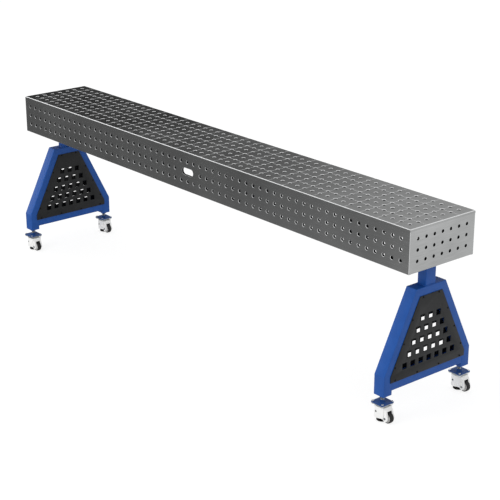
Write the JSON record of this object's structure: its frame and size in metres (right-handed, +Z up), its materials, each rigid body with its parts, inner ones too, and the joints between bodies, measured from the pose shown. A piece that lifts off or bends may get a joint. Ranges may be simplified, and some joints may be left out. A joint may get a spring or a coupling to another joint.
{
  "type": "welding trestle",
  "caption": "Long hollow steel welding beam with clamping-hole grids on its top, sides and ends, on two blue A-frame trestles with jack spindles and levelling castors.",
  "frame": {"origin": "on the floor, under the middle of the beam", "axes": "+X along the beam towards the end that the picture shows nearer, -Y the front long side, +Z up"},
  "size_m": [3, 0.562, 0.882],
  "materials": {
    "beam_steel": "ground steel, grey",
    "blue_paint": "blue powder coat",
    "dark_blue_paint": "dark blue powder coat",
    "panel_black": "matt black powder coat",
    "black_screws": "blackened steel",
    "zinc_fasteners": "zinc plated",
    "zinc_plate": "pressed and zinc plated",
    "turned_steel": "machined",
    "white_housing": "die cast, painted white",
    "hub_plastic": "moulded nylon",
    "tyre_rubber": "black tread",
    "black_plastic": "moulded",
    "foot_rubber": "moulded pad"
  },
  "bodies": {
    "trestle_frame": {"top_plate": "beam_steel", "front_side_plate": "beam_steel", "rear_side_plate": "beam_steel", "left_end_plate": "beam_steel", "right_end_plate": "beam_steel", "cross_ribs": "beam_steel", "saddle_plates": "beam_steel", "post_flanges": "blue_paint", "saddle_bolts": "zinc_fasteners", "left_post": "blue_paint", "left_top_rail": "blue_paint", "left_side_legs": "blue_paint", "left_foot_tubes": "blue_paint", "left_bottom_rail": "blue_paint", "left_panels": "panel_black", "right_post": "blue_paint", "right_top_rail": "blue_paint", "right_side_legs": "blue_paint", "right_foot_tubes": "blue_paint", "right_bottom_rail": "blue_paint", "right_panels": "panel_black", "panel_screws": "black_screws", "foot_plugs": "turned_steel", "lock_nuts": "dark_blue_paint"},
    "left_front_jack": {"left_front_jack_plate": "dark_blue_paint", "left_front_castor_bolts": "zinc_fasteners", "left_front_castor_plate": "zinc_plate"},
    "left_front_swivel": {"left_front_swivel_housing": "white_housing", "left_front_axle_bolt": "zinc_fasteners"},
    "left_front_wheel": {"left_front_wheel_hub": "hub_plastic", "left_front_tyre": "tyre_rubber"},
    "left_front_knob": {"left_front_adjusting_wheel": "black_plastic"},
    "left_front_foot": {"left_front_levelling_foot": "foot_rubber"},
    "left_rear_jack": {"left_rear_jack_plate": "dark_blue_paint", "left_rear_castor_bolts": "zinc_fasteners", "left_rear_castor_plate": "zinc_plate"},
    "left_rear_swivel": {"left_rear_swivel_housing": "white_housing", "left_rear_axle_bolt": "zinc_fasteners"},
    "left_rear_wheel": {"left_rear_wheel_hub": "hub_plastic", "left_rear_tyre": "tyre_rubber"},
    "left_rear_knob": {"left_rear_adjusting_wheel": "black_plastic"},
    "left_rear_foot": {"left_rear_levelling_foot": "foot_rubber"},
    "right_front_jack": {"right_front_jack_plate": "dark_blue_paint", "right_front_castor_bolts": "zinc_fasteners", "right_front_castor_plate": "zinc_plate"},
    "right_front_swivel": {"right_front_swivel_housing": "white_housing", "right_front_axle_bolt": "zinc_fasteners"},
    "right_front_wheel": {"right_front_wheel_hub": "hub_plastic", "right_front_tyre": "tyre_rubber"},
    "right_front_knob": {"right_front_adjusting_wheel": "black_plastic"},
    "right_front_foot": {"right_front_levelling_foot": "foot_rubber"},
    "right_rear_jack": {"right_rear_jack_plate": "dark_blue_paint", "right_rear_castor_bolts": "zinc_fasteners", "right_rear_castor_plate": "zinc_plate"},
    "right_rear_swivel": {"right_rear_swivel_housing": "white_housing", "right_rear_axle_bolt": "zinc_fasteners"},
    "right_rear_wheel": {"right_rear_wheel_hub": "hub_plastic", "right_rear_tyre": "tyre_rubber"},
    "right_rear_knob": {"right_rear_adjusting_wheel": "black_plastic"},
    "right_rear_foot": {"right_rear_levelling_foot": "foot_rubber"}
  },
  "joints": [
    {"name": "left_front_jack_height", "type": "slide", "parent": "trestle_frame", "child": "left_front_jack", "axis": [0, 0, -1], "range_m": [-0.012, 0.02]},
    {"name": "left_front_swivel_turn", "type": "hinge", "parent": "left_front_jack", "child": "left_front_swivel", "pos_m": [-1.42, -0.245, 0], "axis": [0, 0, 1], "continuous": true},
    {"name": "left_front_wheel_spin", "type": "hinge", "parent": "left_front_swivel", "child": "left_front_wheel", "pos_m": [-1.381, -0.245, 0.025], "axis": [0, 1, 0], "continuous": true},
    {"name": "left_front_knob_turn", "type": "hinge", "parent": "left_front_swivel", "child": "left_front_knob", "pos_m": [-1.42, -0.245, 0], "axis": [0, 0, 1], "range_deg": [0, 1440]},
    {"name": "left_front_foot_lowering", "type": "slide", "parent": "left_front_swivel", "child": "left_front_foot", "axis": [0, 0, -1], "range_m": [0, 0.0121]},
    {"name": "left_rear_jack_height", "type": "slide", "parent": "trestle_frame", "child": "left_rear_jack", "axis": [0, 0, -1], "range_m": [-0.012, 0.02]},
    {"name": "left_rear_swivel_turn", "type": "hinge", "parent": "left_rear_jack", "child": "left_rear_swivel", "pos_m": [-1.42, 0.245, 0], "axis": [0, 0, 1], "continuous": true},
    {"name": "left_rear_wheel_spin", "type": "hinge", "parent": "left_rear_swivel", "child": "left_rear_wheel", "pos_m": [-1.381, 0.245, 0.025], "axis": [0, 1, 0], "continuous": true},
    {"name": "left_rear_knob_turn", "type": "hinge", "parent": "left_rear_swivel", "child": "left_rear_knob", "pos_m": [-1.42, 0.245, 0], "axis": [0, 0, 1], "range_deg": [0, 1440]},
    {"name": "left_rear_foot_lowering", "type": "slide", "parent": "left_rear_swivel", "child": "left_rear_foot", "axis": [0, 0, -1], "range_m": [0, 0.0121]},
    {"name": "right_front_jack_height", "type": "slide", "parent": "trestle_frame", "child": "right_front_jack", "axis": [0, 0, -1], "range_m": [-0.012, 0.02]},
    {"name": "right_front_swivel_turn", "type": "hinge", "parent": "right_front_jack", "child": "right_front_swivel", "pos_m": [1.42, -0.245, 0], "axis": [0, 0, 1], "continuous": true},
    {"name": "right_front_wheel_spin", "type": "hinge", "parent": "right_front_swivel", "child": "right_front_wheel", "pos_m": [1.459, -0.245, 0.025], "axis": [0, 1, 0], "continuous": true},
    {"name": "right_front_knob_turn", "type": "hinge", "parent": "right_front_swivel", "child": "right_front_knob", "pos_m": [1.42, -0.245, 0], "axis": [0, 0, 1], "range_deg": [0, 1440]},
    {"name": "right_front_foot_lowering", "type": "slide", "parent": "right_front_swivel", "child": "right_front_foot", "axis": [0, 0, -1], "range_m": [0, 0.0121]},
    {"name": "right_rear_jack_height", "type": "slide", "parent": "trestle_frame", "child": "right_rear_jack", "axis": [0, 0, -1], "range_m": [-0.012, 0.02]},
    {"name": "right_rear_swivel_turn", "type": "hinge", "parent": "right_rear_jack", "child": "right_rear_swivel", "pos_m": [1.42, 0.245, 0], "axis": [0, 0, 1], "continuous": true},
    {"name": "right_rear_wheel_spin", "type": "hinge", "parent": "right_rear_swivel", "child": "right_rear_wheel", "pos_m": [1.459, 0.245, 0.025], "axis": [0, 1, 0], "continuous": true},
    {"name": "right_rear_knob_turn", "type": "hinge", "parent": "right_rear_swivel", "child": "right_rear_knob", "pos_m": [1.42, 0.245, 0], "axis": [0, 0, 1], "range_deg": [0, 1440]},
    {"name": "right_rear_foot_lowering", "type": "slide", "parent": "right_rear_swivel", "child": "right_rear_foot", "axis": [0, 0, -1], "range_m": [0, 0.0121]}
  ],
  "couplings": [
    {"joint": "left_front_foot_lowering", "follows": "left_front_knob_turn", "m_per_rad": 0.00047746},
    {"joint": "left_rear_foot_lowering", "follows": "left_rear_knob_turn", "m_per_rad": 0.00047746},
    {"joint": "right_front_foot_lowering", "follows": "right_front_knob_turn", "m_per_rad": 0.00047746},
    {"joint": "right_rear_foot_lowering", "follows": "right_rear_knob_turn", "m_per_rad": 0.00047746}
  ]
}
